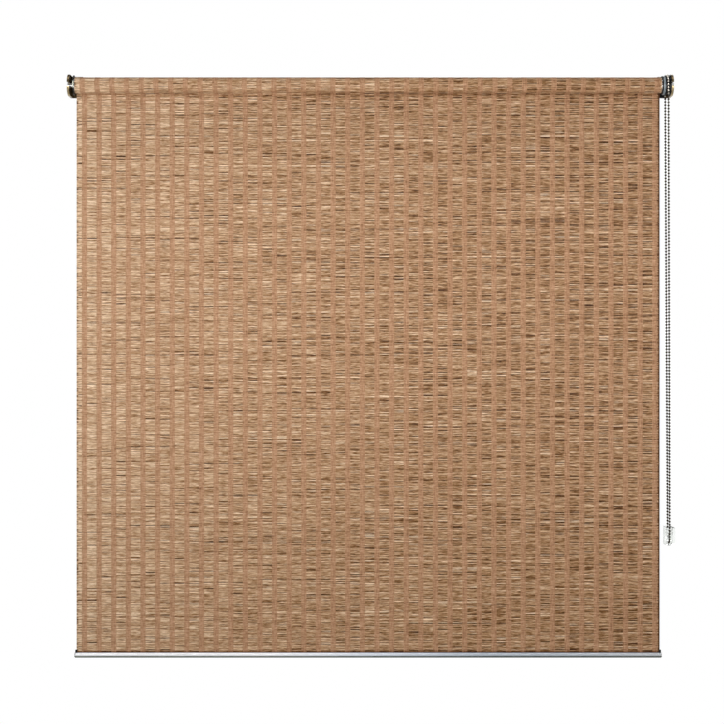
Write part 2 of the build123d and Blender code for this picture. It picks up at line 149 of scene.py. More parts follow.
# Painted shade: dim marks for the shadow in the gaps between yarns, more often and deeper towards
# the right, away from the light
SLIT_SHADE_CHANCE = (0.06, 0.1)
SLIT_SHADE_TONE = (0.31, -0.18)
SLIT_SHADE_SPREAD = 0.23
DRIFT_BLEND = 0.7
DRIFT = 0.12
YARN_SPREAD = 0.04
LOWER_RISE = 0.055  # the lower part of the sheet is lighter
LOWER_START = 450
LOWER_LENGTH = 600
NEIGHBOUR_CONTRAST = 0.3
BAND_FOLLOW = 0.45  # how much a band takes on of the yarns beside it
BAND_FOLLOW_TONE = 0.52
BAND_FOLLOW_RISE = 0.1
BAND_SPREAD = 0.07
# Painted shade: dark tones at the left edge on yarns whose ends stand apart, for the shadow between
# their loops
RAGGED_END_SHADE = (-0.05, 0.12)
NEAT_TONES = (0.6, 0.9)
RIGHT_EDGE = 0.02
RIGHT_EDGE_OF_ROLL = 0.7
RIGHT_EDGE_SPREAD = 0.12
OVER_BAR_HEIGHT = 4.4  # the yarns darken just over the bar
OVER_BAR_DARK = 0.12
ROLL_SHADOW_AT = 15.8  # painted shadow: a dark line on the sheet just under the roll, where the sheet leaves it
ROLL_SHADOW_WIDTH = 2.8
ROLL_SHADOW_DARK = 0.22
# Painted shade and highlight on each yarn's round: its upper edge, crest and lower edge, the lower
# edge darkest
ROW_SHADING = (-0.05, 0.02, -0.12)


def colour(red, green, blue):
    """A colour given from 0 to 255 as it shows, as the shader's linear values."""
    values = [channel / 255 for channel in (red, green, blue)]
    linear = [v / 12.92 if v <= 0.04045 else ((v + 0.055) / 1.055) ** 2.4 for v in values]
    return (*linear, 1.0)


# Camera and light

SENSOR_WIDTH = 36.0
PICTURE_PIXELS = 724
FOCAL_PIXELS = 1781
CAMERA_PLACE = (-0.0163, -3.5113, -0.5408)
LAMPS = (
    # name, place, target, width, height, watts
    ("front", (0.02, -1.2, -0.3), (0.02, 0, -0.4), 2.8, 0.3, 22.7),
    ("top", (-0.2, -0.3, 1.2), (-0.2, -0.05, 0), 2.6, 0.3, 9),
    ("side", (-2.6, -4.6, 0.3), (0, 0, -0.4), 1.2, 1.2, 8),
    ("rear", (0.8, 2.4, 1.4), (0, 0, -0.5), 2.0, 2.0, 30),
)
WORLD_COLOUR = (1, 1, 1, 1)
SEEN_STRENGTH = 1.0
AMBIENT_STRENGTH = 0.11
SWEEP_LEVEL = -0.06  # gloss that looks lower than this sees the white sweep


def lamp(name, place, target, width, height, power):
    """A neutral area lamp that looks at a point."""
    data = bpy.data.lights.new(name, "AREA")
    data.shape = "RECTANGLE"
    data.size = width
    data.size_y = height
    data.energy = power
    thing = bpy.data.objects.new(name, data)
    thing.location = place
    bpy.context.scene.collection.objects.link(thing)
    direction = Vector(target) - thing.location
    thing.rotation_euler = direction.to_track_quat("-Z", "Y").to_euler()


def studio_world():
    """White to the camera and through glass, and a dim light from all round to everything else.
    Gloss sees the white only low down, so that metal also has something dark to show."""
    world = bpy.data.worlds.new("studio")
    bpy.context.scene.world = world
    world.use_nodes = True
    tree = world.node_tree
    tree.nodes.clear()

    def background(strength):
        node = tree.nodes.new("ShaderNodeBackground")
        node.inputs["Color"].default_value = WORLD_COLOUR
        node.inputs["Strength"].default_value = strength
        return node

    def combine(operation, first, second):
        node = tree.nodes.new("ShaderNodeMath")
        node.operation = operation
        for value, socket in zip((first, second), node.inputs):
            if isinstance(value, float):
                socket.default_value = value
            else:
                tree.links.new(value, socket)
        return node.outputs[0]

    seen = background(SEEN_STRENGTH)
    ambient = background(AMBIENT_STRENGTH)
    path = tree.nodes.new("ShaderNodeLightPath").outputs
    ahead = tree.nodes.new("ShaderNodeTexCoord")
    split = tree.nodes.new("ShaderNodeSeparateXYZ")
    tree.links.new(ahead.outputs["Generated"], split.inputs[0])
    sweep = combine("LESS_THAN", split.outputs["Z"], SWEEP_LEVEL)
    glossy_sweep = combine("MULTIPLY", path["Is Glossy Ray"], sweep)
    direct = combine("MAXIMUM", path["Is Camera Ray"], path["Is Transmission Ray"])
    any_seen = combine("MAXIMUM", direct, glossy_sweep)
    blend = tree.nodes.new("ShaderNodeMixShader")
    tree.links.new(any_seen, blend.inputs["Fac"])
    tree.links.new(ambient.outputs[0], blend.inputs[1])
    tree.links.new(seen.outputs[0], blend.inputs[2])
    out = tree.nodes.new("ShaderNodeOutputWorld")
    tree.links.new(blend.outputs[0], out.inputs["Surface"])


camera_data = bpy.data.cameras.new("camera")
camera_data.sensor_width = SENSOR_WIDTH
camera_data.lens = SENSOR_WIDTH * FOCAL_PIXELS / PICTURE_PIXELS
camera = bpy.data.objects.new("camera", camera_data)
camera.location = CAMERA_PLACE
camera.rotation_euler = (radians(90), 0, 0)
bpy.context.scene.collection.objects.link(camera)
bpy.context.scene.camera = camera
bpy.context.scene.view_settings.view_transform = "Standard"
for settings in LAMPS:
    lamp(*settings)
studio_world()


# Materials

NOISE_RANGE = (0.3, 0.7)  # nearly all of a noise's values
AVERAGE_RANGE = (0.35, 0.65)  # nearly all of the average of two
METAL_ROUGHNESS = (0.8, 1.25)  # shares of the roughness asked for
PLASTIC_ROUGHNESS = (0.85, 1.2)


class Shader:
    """A material's node tree with one Principled shader, and short ways to add nodes to it."""

    def __init__(self, name, roughness=0.5, **fixed):
        self.material = bpy.data.materials.new(name)
        self.material.use_nodes = True
        self.tree = self.material.node_tree
        self.tree.nodes.clear()
        self.shader = self.add("ShaderNodeBsdfPrincipled")
        self.shader.inputs["Roughness"].default_value = roughness
        for socket, value in fixed.items():
            self.shader.inputs[socket.replace("_", " ")].default_value = value
        end = self.add("ShaderNodeOutputMaterial")
        self.link(self.shader.outputs[0], end.inputs["Surface"])

    def add(self, kind, **settings):
        node = self.tree.nodes.new(kind)
        for name, value in settings.items():
            setattr(node, name, value)
        return node

    def link(self, source, target):
        self.tree.links.new(source, target)

    def place(self, scale, uv=""):
        """Coordinates in metres times scale: the object's own, or those of a UV map."""
        if uv:
            source = self.add("ShaderNodeUVMap", uv_map=uv).outputs["UV"]
        else:
            source = self.add("ShaderNodeTexCoord").outputs["Object"]
        mapping = self.add("ShaderNodeMapping")
        mapping.inputs["Scale"].default_value = scale
        self.link(source, mapping.inputs["Vector"])
        return mapping.outputs[0]

    def noise(self, place, detail=2.0, roughness=0.5, distortion=0.0):
        node = self.add("ShaderNodeTexNoise")
        node.inputs["Scale"].default_value = 1.0
        node.inputs["Detail"].default_value = detail
        node.inputs["Roughness"].default_value = roughness
        node.inputs["Distortion"].default_value = distortion
        self.link(place, node.inputs["Vector"])
        return node.outputs["Fac"]

    def span(self, value, low, high, start=0.0, end=1.0):
        """Maps value from start..end to low..high."""
        node = self.add("ShaderNodeMapRange")
        node.inputs["From Min"].default_value = start
        node.inputs["From Max"].default_value = end
        node.inputs["To Min"].default_value = low
        node.inputs["To Max"].default_value = high
        self.link(value, node.inputs["Value"])
        return node.outputs[0]

    def vary(self, noise, low, high):
        """Maps a noise to low..high."""
        return self.span(noise, low, high, *NOISE_RANGE)

    def math(self, operation, first, second):
        node = self.add("ShaderNodeMath", operation=operation)
        for value, socket in zip((first, second), node.inputs):
            if isinstance(value, (int, float)):
                socket.default_value = value
            else:
                self.link(value, socket)
        return node.outputs[0]

    def ramp(self, value, *stops):
        """A colour ramp through (place, colour) stops."""
        node = self.add("ShaderNodeValToRGB")
        points = node.color_ramp.elements
        while len(points) < len(stops):
            points.new(0.5)
        for point, (place, shade) in zip(points, stops):
            point.position = place
            point.color = shade
        self.link(value, node.inputs["Fac"])
        return node.outputs["Color"]

    def even_ramp(self, value, *shades):
        """A colour ramp from 0 to 1 whose stops lie evenly."""
        last = len(shades) - 1
        return self.ramp(value, *[(number / last, shade) for number, shade in enumerate(shades)])

    def two_tone(self, noise, dark, light, limits=NOISE_RANGE):
        """A noise's values as colours from dark to light."""
        return self.ramp(noise, *zip(limits, (dark, light)))

    def paint_light(self, shade, axis, stops):
        """Multiplies a colour by stops along an axis, in metres: painted shade, highlight and
        reflection of what surrounds the piece there.
        """
        low, high = stops[0][0], stops[-1][0]
        split = self.add("ShaderNodeSeparateXYZ")
        self.link(self.place((1, 1, 1)), split.inputs[0])
        share = self.span(split.outputs[axis], 0.0, 1.0, low, high)
        levels = self.ramp(share, *[((at - low) / (high - low), level) for at, level in stops])
        blend = self.add("ShaderNodeMix", data_type="RGBA", blend_type="MULTIPLY")
        blend.inputs["Factor"].default_value = 1.0
        self.link(shade, blend.inputs["A"])
        self.link(levels, blend.inputs["B"])
        return blend.outputs["Result"]

    def colour_from(self, output):
        self.link(output, self.shader.inputs["Base Color"])

    def roughness_from(self, output):
        self.link(output, self.shader.inputs["Roughness"])

    def bump(self, height, distance, strength=1.0):
        node = self.add("ShaderNodeBump")
        node.inputs["Strength"].default_value = strength
        node.inputs["Distance"].default_value = distance
        self.link(height, node.inputs["Height"])
        self.link(node.outputs[0], self.shader.inputs["Normal"])


def weft_material():
    """Slub yarns along the fabric's width: tone by yarn, which also carries painted sheen,
    highlights and shade, and streaks of fibre along it.
    """
    m = Shader("weft", Specular_IOR_Level=0.18)
    tone = m.add("ShaderNodeAttribute", attribute_name="tone").outputs["Fac"]
    streaks = m.noise(m.place((85, 600, 1), "weave"), 3.0, 0.6, 0.3)
    clouds = m.noise(m.place((30, 120, 1), "weave"), 2.0)
    mixed = m.math("ADD", tone, m.vary(streaks, -0.25, 0.25))
    mixed = m.math("ADD", mixed, m.vary(clouds, -0.06, 0.06))
    m.colour_from(m.even_ramp(
        mixed, colour(64, 32, 4), colour(122, 82, 42), colour(174, 136, 99),
        colour(206, 173, 140), colour(241, 214, 182)))
    m.roughness_from(m.vary(streaks, 0.34, 0.5))
    m.bump(m.noise(m.place((140, 2600, 1), "weave"), 2.0), 0.0002, 0.5)
    return m.material


def warp_material():
    """The bands: fine warp threads packed side by side over the yarns."""
    m = Shader("warp", roughness=0.75, Specular_IOR_Level=0.2)
    tone = m.add("ShaderNodeAttribute", attribute_name="tone").outputs["Fac"]
    threads = m.noise(m.place((420, 60, 1), "weave"), 2.0, 0.6, 0.2)
    stitches = m.noise(m.place((120, 640, 1), "weave"), 1.0)
    mixed = m.math("ADD", tone, m.vary(threads, -0.16, 0.16))
    mixed = m.math("ADD", mixed, m.vary(stitches, -0.2, 0.2))
    m.colour_from(m.even_ramp(
        mixed, colour(104, 64, 34), colour(152, 111, 80), colour(176, 134, 101),
        colour(193, 152, 120), colour(214, 178, 147)))
    m.bump(m.math("ADD", threads, stitches), 0.00025, 0.8)
    return m.material


def ground_shade_material():
    """The cloth layer that shows in the slits between the yarns, coloured dark as painted shade."""
    m = Shader("ground", roughness=0.85, Specular_IOR_Level=0.1)
    threads = m.noise(m.place((1600, 300, 1), "weave"), 3.0, 0.6)
    m.colour_from(m.two_tone(threads, colour(64, 38, 14), colour(100, 67, 36)))
    m.bump(threads, 0.0003, 0.8)
    return m.material


def metal(name, dark, light, roughness, grain=(40, 40, 900), metallic=1.0, painted_light=()):
    """Plated or drawn metal: fine grain, faint clouds and a roughness that follows the grain, with
    any painted shade and reflection by place.
    """
    m = Shader(name, Metallic=metallic)
    lines = m.noise(m.place(grain), 3.0, 0.6)
    clouds = m.noise(m.place((60, 60, 60)), 3.0)
    average = m.math("MULTIPLY", m.math("ADD", lines, clouds), 0.5)
    shade = m.two_tone(average, dark, light, AVERAGE_RANGE)
    for axis, stops in painted_light:
        shade = m.paint_light(shade, axis, stops)
    m.colour_from(shade)
    m.roughness_from(m.vary(lines, *[roughness * part for part in METAL_ROUGHNESS]))
    m.bump(lines, 0.00004, 0.4)
    return m.material


def plastic(name, dark, light, roughness=0.45, specular=0.5, painted_light=()):
    """Moulded plastic: an eggshell skin with faint flow clouds, with any painted shade by place."""
    m = Shader(name, Specular_IOR_Level=specular)
    skin = m.noise(m.place((1300, 1300, 1300)), 2.0)
    clouds = m.noise(m.place((90, 90, 90)), 3.0)
    shade = m.two_tone(clouds, dark, light)
    for axis, stops in painted_light:
        shade = m.paint_light(shade, axis, stops)
    m.colour_from(shade)
    m.roughness_from(m.vary(skin, *[roughness * part for part in PLASTIC_ROUGHNESS]))
    m.bump(skin, 0.00005, 0.35)
    return m.material


def clear_plastic():
    """Clear moulding with faint flow lines, and painted shade that darkens it where it is seen edge
    on.
    """
    m = Shader("clear", Transmission_Weight=1.0, IOR=1.49)
    flow = m.noise(m.place((150, 150, 60)), 2.0)
    clear = m.two_tone(flow, colour(240, 243, 240), colour(252, 254, 252))
    edge = m.add("ShaderNodeLayerWeight")
    edge.inputs["Blend"].default_value = 0.35
    blend = m.add("ShaderNodeMix", data_type="RGBA")
    m.link(m.span(edge.outputs["Facing"], 0.0, 0.5, 0.5, 0.95), blend.inputs["Factor"])
    m.link(clear, blend.inputs["A"])
    blend.inputs["B"].default_value = colour(176, 180, 164)
    m.colour_from(blend.outputs["Result"])
    m.roughness_from(m.vary(flow, 0.03, 0.1))
    m.bump(flow, 0.0001, 0.3)
    return m.material


CLEAN = colour(255, 255, 255)

# Painted shade and reflection on the brackets: near the wall, on their feet, and over and under the
# axis, with a painted highlight at the axis
FOOT_SHADE = colour(24, 20, 16)
UPPER_SHADE = colour(156, 144, 120)
LOWER_SHADE = colour(200, 190, 168)
WALL_SHADE = (Y_AXIS, (
    (-0.016, CLEAN), (-0.006, colour(130, 120, 104)), (0.0, colour(112, 102, 86)),
))
FOOT_SHADE_FADE = (X_AXIS, (
    (-0.582, CLEAN), (-0.579, FOOT_SHADE), (0.579, FOOT_SHADE), (0.582, CLEAN),
))
SKY_REFLECTION = (Z_AXIS, (
    (-0.021, LOWER_SHADE), (-0.004, LOWER_SHADE), (-0.001, CLEAN), (0.003, CLEAN),
    (0.005, UPPER_SHADE), (0.021, UPPER_SHADE),
))

# Painted shade and highlight on the bar: a shaded underside and a bright band over its height from
# its underside, and a highlight that fades along it
BAR_HEIGHT = 0.0104
BAR_SHADE_PROFILE = (
    (0.0, colour(84, 92, 80)), (0.0032, colour(112, 120, 106)), (0.0044, colour(244, 246, 246)),
    (0.0088, CLEAN), (BAR_HEIGHT, colour(200, 200, 208)),
)
BAR_UNDERSIDE = BAR_TOP * MM - BAR_HEIGHT
BAR_HEIGHT_SHADE = (Z_AXIS, tuple((BAR_UNDERSIDE + at, level) for at, level in BAR_SHADE_PROFILE))
BAR_LENGTH_HIGHLIGHT = (X_AXIS, (
    (-0.58, CLEAN), (-0.22, CLEAN), (0.0, colour(226, 232, 240)), (0.23, colour(184, 192, 200)),
    (0.42, colour(190, 196, 202)), (0.58, colour(204, 206, 208)),
))

# Painted reflection on the chain, darker below its wheel, and painted shade at the plug's upper and
# lower end, with a painted highlight between them
CHAIN_DARK_REFLECTION = colour(70, 63, 53)
CHAIN_REFLECTION = (Z_AXIS, ((-0.024, CHAIN_DARK_REFLECTION), (-0.02, CHAIN_DARK_REFLECTION), (-0.016, CLEAN)))
PLUG_END_SHADE = colour(24, 24, 22)
PLUG_SHADE = (Z_AXIS, (
    (-0.0075, PLUG_END_SHADE), (-0.0048, CLEAN), (0.0048, CLEAN), (0.0075, PLUG_END_SHADE),
))

WEFT = weft_material()
WARP = warp_material()
GROUND_SHADE = ground_shade_material()
NICKEL = metal("nickel", colour(186, 172, 142), colour(230, 216, 188), roughness=0.3,
               grain=(900, 40, 60), metallic=0.7, painted_light=(WALL_SHADE, FOOT_SHADE_FADE, SKY_REFLECTION))
PIN_STEEL = metal("pin_steel", colour(205, 205, 204), colour(232, 232, 230), roughness=0.16,
                  grain=(1200, 60, 60))
TUBE_METAL = metal("tube_metal", colour(196, 197, 198), colour(222, 223, 224), roughness=0.3,
                   grain=(30, 900, 900))
SPRING_METAL = metal("spring_metal", colour(110, 110, 112), colour(140, 140, 142), roughness=0.35)
BAR_METAL = metal("bar_metal", colour(240, 240, 243), colour(254, 254, 255), roughness=0.3,
                  grain=(12, 900, 900), metallic=0.3, painted_light=(BAR_HEIGHT_SHADE, BAR_LENGTH_HIGHLIGHT))
CAP = metal("cap_plastic", colour(206, 207, 209), colour(226, 226, 228), roughness=0.4,
            grain=(90, 90, 90), metallic=0.0, painted_light=(BAR_HEIGHT_SHADE,))
CHAIN_METAL = metal("chain_metal", colour(196, 188, 174), colour(244, 238, 226), roughness=0.2,
                    grain=(500, 500, 500), painted_light=(CHAIN_REFLECTION,))
BLACK = plastic("black_plastic", colour(6, 6, 6), colour(14, 14, 13), roughness=0.4, specular=0.25)
PLUG = plastic("plug_plastic", colour(206, 210, 190), colour(226, 229, 212), roughness=0.4,
               specular=0.25, painted_light=(PLUG_SHADE,))
GREY = plastic("grey_plastic", colour(112, 122, 128), colour(134, 144, 148), roughness=0.4)
WHITE = plastic("white_plastic", colour(216, 216, 212), colour(232, 232, 229), roughness=0.5)
CLEAR = clear_plastic()

FINISHES = (
    (NICKEL, ("bracket_left", "bracket_right")),
    (PIN_STEEL, ("idler_pin",)),
    (SPRING_METAL, ("retaining_clips", "clutch_spring")),
    (WHITE, ("clutch_core", "tube_spline", "bar_spline")),
    (BLACK, ("clutch_cover", "chain_wheel", "tube_adapter")),
    (PLUG, ("idler_plug",)),
    (GREY, ("drive_hub",)),
    (TUBE_METAL, ("roller_tube",)),
    (BAR_METAL, ("bottom_bar",)),
    (CAP, ("bar_caps",)),
    (CLEAR, ("tensioner_housing",)),
)
for material, names in FINISHES:
    for name in names:
        for entry in nodes[name].material_slots:
            entry.material = material


# Meshes

def piece(name, points, quads, materials, kinds=None, tone=None, uv=None):
    """A smooth mesh of quads from arrays: points in mm, with a material's number for each quad, and
    a tone and a place in the weave's UV map for each point."""
    mesh = bpy.data.meshes.new(name)
    points = np.asarray(points, float).reshape(-1, 3) * MM
    quads = np.asarray(quads, np.int32).reshape(-1, 4)
    mesh.vertices.add(len(points))
    mesh.vertices.foreach_set("co", points.astype(np.float32).ravel())
    mesh.loops.add(quads.size)
    mesh.loops.foreach_set("vertex_index", quads.ravel())
    mesh.polygons.add(len(quads))
    mesh.polygons.foreach_set("loop_start", np.arange(0, quads.size, 4, dtype=np.int32))
    mesh.polygons.foreach_set("use_smooth", np.ones(len(quads), bool))
    for material in materials:
        mesh.materials.append(material)
    if kinds is not None:
        mesh.polygons.foreach_set("material_index", np.asarray(kinds, np.int32).ravel())
    if tone is not None:
        layer = mesh.attributes.new("tone", "FLOAT", "POINT")
        layer.data.foreach_set("value", np.asarray(tone, np.float32).ravel())
    if uv is not None:
        corners = np.asarray(uv, float)[quads.ravel()]
        layer = mesh.uv_layers.new(name="weave")
        layer.data.foreach_set("uv", corners.astype(np.float32).ravel())
    mesh.update(calc_edges=True)
    mesh.validate()
    thing = bpy.data.objects.new(name, mesh)
    bpy.context.scene.collection.objects.link(thing)
    return thing


# The weave

def band_edges(number):
    """A band's left and right edge, from the fabric's left edge."""
    middle = FIRST_BAND + number * BAND_PITCH
    return middle - BAND_WIDTH / 2, middle + BAND_WIDTH / 2


def stations(zone_steps):
    """Places across the fabric from its left edge, and the zone each lies in, or -1 in a band."""
    places, zones = [], []
    left = 0.0
    for zone in range(ZONE_COUNT):
        has_band = zone < BAND_COUNT
        right, after_band = band_edges(zone) if has_band else (FABRIC_WIDTH, None)
        steps = zone_steps if right - left > NARROW_ZONE else NARROW_ZONE_STEPS
        inner = np.linspace(left + POINT_INSET * (zone > 0), right - POINT_INSET * has_band,
                            steps + 1)
        places.extend(inner)
        zones.extend([zone] * len(inner))
        if has_band:
            places.extend((right + POINT_INSET, after_band - POINT_INSET))
            zones.extend((-1, -1))
            left = after_band
    return np.array(places), np.array(zones)


def slit_rows():
    """The slits that the solid sheet has: (zone, length along the fabric)."""
    rows = []
    for zone in range(BAND_COUNT - 1):
        for row in range(SLITS_PER_ZONE):
            share = (zone * GOLDEN_SHARE + row / SLITS_PER_ZONE) % 1
            z = BAR_TOP + SLIT_MARGIN + share * (-BAR_TOP - 2 * SLIT_MARGIN)
            rows.append((zone + 1, -z))
    return rows


def smooth_runs(rng, count, chance):
    """Random values by yarn and zone that often hold for two or three zones along a yarn, and which
    of them are marked, at a chance that may differ by zone."""
    values = rng.uniform(0, 1, (count, ZONE_COUNT))
    marks = rng.uniform(0, 1, (count, ZONE_COUNT)) < chance
    joined = rng.uniform(0, 1, (count, ZONE_COUNT)) < JOINED_SHARE
    for zone in range(1, ZONE_COUNT):
        values[:, zone] = np.where(joined[:, zone], values[:, zone - 1], values[:, zone])
        marks[:, zone] = np.where(joined[:, zone], marks[:, zone - 1], marks[:, zone])
    return values, marks


def at_points(values, zone_of):
    """Values by yarn and zone at each point across. Those in a band get the first zone's."""
    return values[:, np.maximum(zone_of, 0)]


def slope(pair, share):
    """A value that changes evenly across the fabric, from a start and what is added up to 1."""
    start, change = pair
    return start + change * share


def yarn_bounds(rng, x, start, end, pitch):
    """The lines between the yarns: their mean lengths along the fabric, and those at each point."""
    count = int(round((end - start) / pitch))
    widths = rng.uniform(*YARN_WIDTHS, count)
    bounds = start + np.concatenate([[0], np.cumsum(widths)]) * (end - start) / widths.sum()
    wander = np.zeros((count + 1, len(x)))
    for length, size in YARN_WAVES:
        phase = rng.uniform(0, 2 * pi, (count + 1, 1))
        stretch = rng.uniform(*WAVE_STRETCH, (count + 1, 1))
        strength = rng.uniform(*WAVE_STRENGTH, (count + 1, 1))
        wander += size * strength * np.sin(2 * pi * x / (length * stretch) + phase)
    wander[0] = wander[-1] = 0
    return bounds, bounds[:, None] + wander


def yarn_gaps(rng, x, zone_of, bounds, edge, slits):
    """The gap at each line between yarns and each point, and which lines end ragged at the fabric's
    edges. Where the solid sheet has a slit, the gap is wide, and edge's line bends towards it."""
    lines = len(bounds)
    size, opened = smooth_runs(rng, lines, OPEN_SHARE)
    least, added = OPEN_GAP
    gap = np.where(opened, least + added * size**OPEN_GAP_POWER, CLOSED_GAP * size)
    for zone, along in slits:
        row = int(np.argmin(abs(bounds - along)))
        if 0 < row < lines - 1:
            gap[row, zone] = SLIT_GAP
            near = np.exp(-(((x - x[zone_of == zone].mean()) / SLIT_REACH) ** 2))
            edge[row] += SLIT_PULL * (along - bounds[row]) * near
    even, random = GAP_SHAPE
    spread = np.zeros((lines, len(x)))
    for zone in range(ZONE_COUNT):
        inside = np.flatnonzero(zone_of == zone)
        half = len(inside) // 2
        shape = even + random * rng.uniform(0, 1, (lines, len(inside)))
        shape[:, 0] *= GAP_AT_BAND
        shape[:, -1] *= GAP_AT_BAND
        cut = rng.uniform(0, 1, lines) < HALF_GAP_SHARE
        keep_left = rng.uniform(0, 1, lines) < 0.5
        shape[np.ix_(cut & keep_left, np.arange(half + 1, len(inside)))] *= HALF_GAP_REST
        shape[np.ix_(cut & ~keep_left, np.arange(0, half))] *= HALF_GAP_REST
        spread[:, inside] = gap[:, zone][:, None] * shape
    ragged = rng.uniform(0, 1, lines) < RAGGED_SHARE
    spread[:, 0] += np.where(ragged, rng.uniform(*RAGGED_LEFT, lines), NEAT_LEFT)
    spread[:, -1] += np.where(ragged, rng.uniform(*RAGGED_RIGHT, lines), NEAT_RIGHT)
    spread[0] = spread[-1] = 0
    return np.minimum(spread, WIDEST_GAP), ragged


def yarn_relief(rng, zone_of, width_share):
    """The height of each yarn's upper edge, crest and lower edge at each point."""
    count = len(width_share)
    in_band = zone_of < 0
    lean, leaning = smooth_runs(rng, count, LEANING_SHARE)
    lean = np.where(leaning, lean - 0.5, SLIGHT_LEAN * (lean - 0.5))
    lean = np.where(in_band, 0, at_points(lean, zone_of))
    ridge = RIDGE * np.clip(width_share, *RIDGE_LIMITS) * rng.uniform(*RIDGE_CHANGES, (count, 1))
    upper = np.where(in_band, BAND_DEPTH, ZONE_DEPTH + LEAN_RISE * lean)
    crest = np.where(in_band, BAND_DEPTH + BAND_RIDGE, ZONE_DEPTH + ridge)
    lower = np.where(in_band, BAND_DEPTH, ZONE_DEPTH - LEAN_RISE * lean)
    return upper, crest, lower


def yarn_tones(rng, zone_of, middle, ragged, right_edge, reaches_bar):
    """The tone of each yarn at each point, from the yarns' middles along the fabric, with painted
    sheen, highlights and shade in it.
    """
    count = len(middle)
    in_band = zone_of < 0
    share = np.linspace(0, 1, ZONE_COUNT)
    held, _ = smooth_runs(rng, count, 0)
    # painted highlights on glossy yarn
    shine, highlighted = smooth_runs(rng, count, slope(HIGHLIGHT_CHANCE, share))
    # painted shade in the gaps between yarns
    shadow, slit_shaded = smooth_runs(rng, count, slope(SLIT_SHADE_CHANCE, share))
    drift = rng.normal(0, 1, (len(zone_of), count)).T
    drift[:, 1:] = DRIFT_BLEND * (drift[:, 1:] + drift[:, :-1])
    yarn = rng.normal(0, YARN_SPREAD, (count, 1))
    yarn = yarn + LOWER_RISE * np.clip((middle - LOWER_START) / LOWER_LENGTH, 0, 1)

    # painted sheen, lighter towards the left where the light falls
    edge_sheen = LEFT_EDGE_SHEEN * np.exp(-share / LEFT_EDGE_SHEEN_REACH)
    zone_tone = slope(ZONE_TONE_AND_SHEEN, share) + ZONE_SHEEN_BEND * share**2 + edge_sheen
    zone_tone = zone_tone + slope(HELD_SPREAD, share) * (held - 0.5)
    zone_tone = np.where(slit_shaded, slope(SLIT_SHADE_TONE, share) - SLIT_SHADE_SPREAD * shadow, zone_tone)
    zone_tone = np.where(highlighted, slope(HIGHLIGHT_TONE, share) + HIGHLIGHT_SPREAD * shine, zone_tone)
    tones = np.where(in_band, MIDDLE_TONE, at_points(zone_tone, zone_of) + yarn + DRIFT * drift)
    tones[1:] -= NEIGHBOUR_CONTRAST * (tones[:-1] - MIDDLE_TONE)

    filled = tones.copy()
    for step in np.flatnonzero(in_band):
        zone_before = zone_of[step - 1]  # -1 at a band's second point, which looks to its right
        near = tones[:, step - 1] if zone_before >= 0 else tones[:, step + 1]
        near = near - BAND_FOLLOW_TONE + BAND_FOLLOW_RISE * zone_before / BAND_COUNT
        filled[:, step] = MIDDLE_TONE + BAND_FOLLOW * near + rng.normal(0, BAND_SPREAD, count)
    # painted shade between the loose yarn ends at the left edge
    filled[:, 0] = np.where(ragged[:-1], rng.uniform(*RAGGED_END_SHADE, count),
                            rng.uniform(*NEAT_TONES, count))
    filled[:, -2:] = right_edge + rng.uniform(-RIGHT_EDGE_SPREAD, RIGHT_EDGE_SPREAD, (count, 1))
    if reaches_bar:
        # darker just over the bar
        over_bar = np.clip((-BAR_TOP - middle) / OVER_BAR_HEIGHT, 0, 1)
        # painted shadow of the roll on the sheet just under it
        roll_shadow = np.exp(-(((middle - ROLL_SHADOW_AT) / ROLL_SHADOW_WIDTH) ** 2))
        filled = filled * over_bar - OVER_BAR_DARK * (1 - over_bar) - ROLL_SHADOW_DARK * roll_shadow
    return filled


def weave(start, end, pitch, zone_steps, seed, slits, right_edge):
    """Yarns from start to end along the fabric. Returns their points (x, along, height), tones,
    quads and the quads' kinds, 0 for weft and 1 for a band, the number of yarns, and the number of
    points across."""
    rng = np.random.default_rng(seed)
    x, zone_of = stations(zone_steps)
    bounds, edge = yarn_bounds(rng, x, start, end, pitch)
    spread, ragged = yarn_gaps(rng, x, zone_of, bounds, edge, slits)
    count, across = len(bounds) - 1, len(x)

    upper = edge[:-1] + spread[:-1] / 2
    lower = edge[1:] - spread[1:] / 2
    narrow = np.clip(NARROWEST_YARN - (lower - upper), 0, None) / 2
    upper -= narrow
    lower += narrow
    crest = (upper + lower) / 2 + rng.normal(0, CREST_SHIFT, (count, 1)) * (lower - upper)
    heights = yarn_relief(rng, zone_of, (lower - upper) / pitch)
    points = np.stack([np.stack([np.broadcast_to(x, along.shape), along, height], -1)
                       for along, height in zip((upper, crest, lower), heights)], 1)

    middle = (bounds[:-1] + bounds[1:])[:, None] / 2
    tones = yarn_tones(rng, zone_of, middle, ragged, right_edge, end > -BAR_TOP)
    # painted shade and highlight across each yarn's round
    tones = np.stack([tones + change for change in ROW_SHADING], 1)

    first = np.arange(count)[:, None, None] * YARN_ROWS * across
    strip = np.arange(YARN_ROWS - 1)[None, :, None] * across
    corner = first + strip + np.arange(across - 1)[None, None, :]
    quads = np.stack([corner, corner + across, corner + across + 1, corner + 1], -1)
    both_band = (zone_of[:-1] < 0) & (zone_of[1:] < 0)
    kinds = np.broadcast_to(both_band.astype(int), corner.shape)
    return points.reshape(-1, 3), tones.ravel(), quads.reshape(-1, 4), kinds.ravel(), count, across


TO_VIEWER, TO_WALL = -1, 1
UV_STEP = 0.37  # between the UV places of one weave and the next


def on_sheet(grid, side):
    """Puts weave points on the hanging sheet, on the side to the viewer or to the wall."""
    along = np.minimum(np.maximum(grid[:, 1], -SHEET_TOP), SHEET_LENGTH)
    return np.stack([FABRIC_LEFT + grid[:, 0], SHEET_MIDDLE + side * grid[:, 2], -along], -1)


